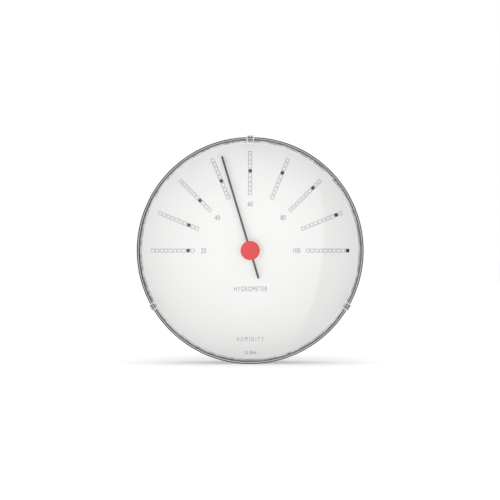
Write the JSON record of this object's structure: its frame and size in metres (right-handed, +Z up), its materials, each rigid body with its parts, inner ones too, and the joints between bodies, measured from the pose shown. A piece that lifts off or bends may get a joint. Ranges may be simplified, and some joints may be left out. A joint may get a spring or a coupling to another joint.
{
  "type": "dial hygrometer",
  "caption": "Round wall hygrometer with a brushed aluminium case, a domed glass held by clear clips, a white dial with radial rows of squares, a black pointer and a red hub",
  "frame": {"origin": "on the pointer's axis, in the plane of the wall that the case's flat back rim rests on", "axes": "+Y points out of the back into the wall and the dial faces -Y; +Z is up; +X is to the right of someone reading the dial"},
  "size_m": [0.12, 0.0482, 0.1207],
  "materials": {
    "brushed_case": "spun and finely brushed aluminium",
    "black_cover": "black moulded plastic with a fine texture",
    "zinc_steel": "bright zinc plated steel",
    "rivet_aluminium": "soft aluminium rivets",
    "white_dial": "satin white lacquer on an aluminium sheet",
    "pale_rubber": "pale silicone rubber",
    "clear_glass": "clear domed mineral glass with a ground edge",
    "clear_plastic": "clear moulded plastic with polished edges",
    "brass": "turned brass",
    "brass_plate": "stamped and brushed brass sheet",
    "bush_bronze": "bearing bronze",
    "ground_steel": "ground steel",
    "white_plastic": "off-white moulded plastic",
    "black_pointer": "satin black lacquer on a thin aluminium strip",
    "red_plastic": "red moulded plastic, satin",
    "spring_bronze": "phosphor bronze ribbon",
    "tin_steel": "tinned steel sheet",
    "hair_fibre": "bundle of treated blond hair"
  },
  "bodies": {
    "case": {"case_shell": "brushed_case", "back_cover": "black_cover", "cover_screws": "zinc_steel", "hanger_plate": "zinc_steel", "hanger_rivets": "rivet_aluminium", "dial_plate": "white_dial", "glass_gasket": "pale_rubber", "glass_dome": "clear_glass", "glass_clip_top": "clear_plastic", "glass_clip_right": "clear_plastic", "glass_clip_left": "clear_plastic", "clip_screws": "zinc_steel", "dial_feet": "brass", "dial_nuts": "brass", "base_plate": "brass_plate", "bridge_plate": "brass_plate", "bridge_pillars": "brass", "bridge_screws": "zinc_steel", "pointer_front_bush": "bush_bronze", "pointer_rear_bush": "bush_bronze", "sector_front_bush": "bush_bronze", "sector_rear_bush": "bush_bronze", "adjuster_bush": "bush_bronze", "stop_pins": "ground_steel", "hairspring_stud": "brass", "hairspring": "spring_bronze"},
    "sector": {"sector_arbor": "ground_steel", "sector_gear": "brass", "sector_hub": "brass", "crank_arm": "brass", "crank_pin": "ground_steel"},
    "pointer": {"pointer_arbor": "ground_steel", "pointer_pinion": "brass", "hairspring_collet": "brass", "pointer_boss": "white_plastic", "pointer_needle": "black_pointer", "pointer_cap": "red_plastic"},
    "hook": {"hair_hook": "tin_steel", "hair_bundle": "hair_fibre"},
    "adjuster": {"adjuster_stud": "brass", "adjuster_clip": "ground_steel", "anchor_lever": "brass", "anchor_pin": "ground_steel"},
    "tab": {"anchor_tab": "tin_steel"}
  },
  "joints": [
    {"name": "sector_turn", "type": "hinge", "parent": "case", "child": "sector", "pos_m": [0.0216, -0.0241, 0], "axis": [0, 1, 0], "range_deg": [-14, 10.4], "stiffness_Nm_per_rad": 0.03, "deforming": ["hair_bundle"]},
    {"name": "pointer_turn", "type": "hinge", "parent": "case", "child": "pointer", "pos_m": [0, -0.0241, 0], "axis": [0, 1, 0], "range_deg": [-84, 113], "deforming": ["hairspring"]},
    {"name": "hook_pivot", "type": "hinge", "parent": "sector", "child": "hook", "pos_m": [0.0216, -0.015, -0.0036], "axis": [0, 1, 0], "range_deg": [-11, 14.5]},
    {"name": "adjuster_turn", "type": "hinge", "parent": "case", "child": "adjuster", "pos_m": [-0.04, -0.0204, 0.0034], "axis": [0, 1, 0], "range_deg": [-10, 10]},
    {"name": "tab_pivot", "type": "hinge", "parent": "adjuster", "child": "tab", "pos_m": [-0.04, -0.015, -0.0036], "axis": [0, 1, 0], "range_deg": [-10.5, 10.5]}
  ],
  "couplings": [
    {"joint": "pointer_turn", "follows": "sector_turn", "ratio": -8},
    {"joint": "hook_pivot", "follows": "sector_turn", "ratio": -1},
    {"joint": "tab_pivot", "follows": "adjuster_turn", "ratio": -1}
  ]
}
